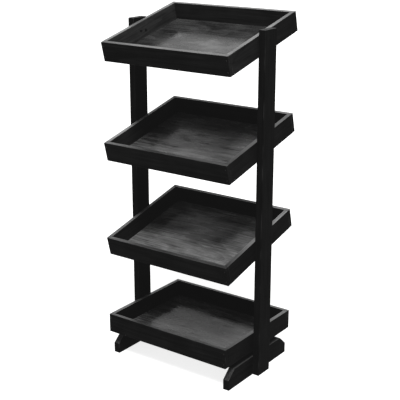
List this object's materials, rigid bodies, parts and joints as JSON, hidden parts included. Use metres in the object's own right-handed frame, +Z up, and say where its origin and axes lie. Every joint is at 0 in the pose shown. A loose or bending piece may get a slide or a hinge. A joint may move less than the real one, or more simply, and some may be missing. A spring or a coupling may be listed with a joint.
{
  "type": "market crate stand",
  "caption": "Free-standing wooden display stand: shallow open crates, the upper ones leaning forward, screwed between upright posts on long feet with sloped ends.",
  "frame": {"origin": "on the ground, midway between the posts and at the middle of their width", "axes": "+Z up, +X to the right seen from the front, +Y to the back; the crates lean towards -Y"},
  "size_m": [0.46, 0.3418, 1.022],
  "materials": {
    "board": "black stain, satin",
    "panel": "black stain on plywood, satin",
    "frame": "black stain, satin",
    "screw": "black zinc",
    "pin": "stained over at the heads"
  },
  "bodies": {
    "root": {"left_post": "frame", "left_foot": "frame", "left_foot_screws": "screw", "right_post": "frame", "right_foot": "frame", "right_foot_screws": "screw", "bottom_front_board": "board", "bottom_back_board": "board", "bottom_left_board": "board", "bottom_right_board": "board", "bottom_floor_panel": "panel", "bottom_corner_pins": "pin", "bottom_floor_pins": "pin", "bottom_left_screws": "screw", "bottom_right_screws": "screw", "third_front_board": "board", "third_back_board": "board", "third_left_board": "board", "third_right_board": "board", "third_floor_panel": "panel", "third_corner_pins": "pin", "third_floor_pins": "pin", "third_left_screws": "screw", "third_right_screws": "screw", "second_front_board": "board", "second_back_board": "board", "second_left_board": "board", "second_right_board": "board", "second_floor_panel": "panel", "second_corner_pins": "pin", "second_floor_pins": "pin", "second_left_screws": "screw", "second_right_screws": "screw", "top_front_board": "board", "top_back_board": "board", "top_left_board": "board", "top_right_board": "board", "top_floor_panel": "panel", "top_corner_pins": "pin", "top_floor_pins": "pin", "top_left_screws": "screw", "top_right_screws": "screw"}
  },
  "joints": []
}
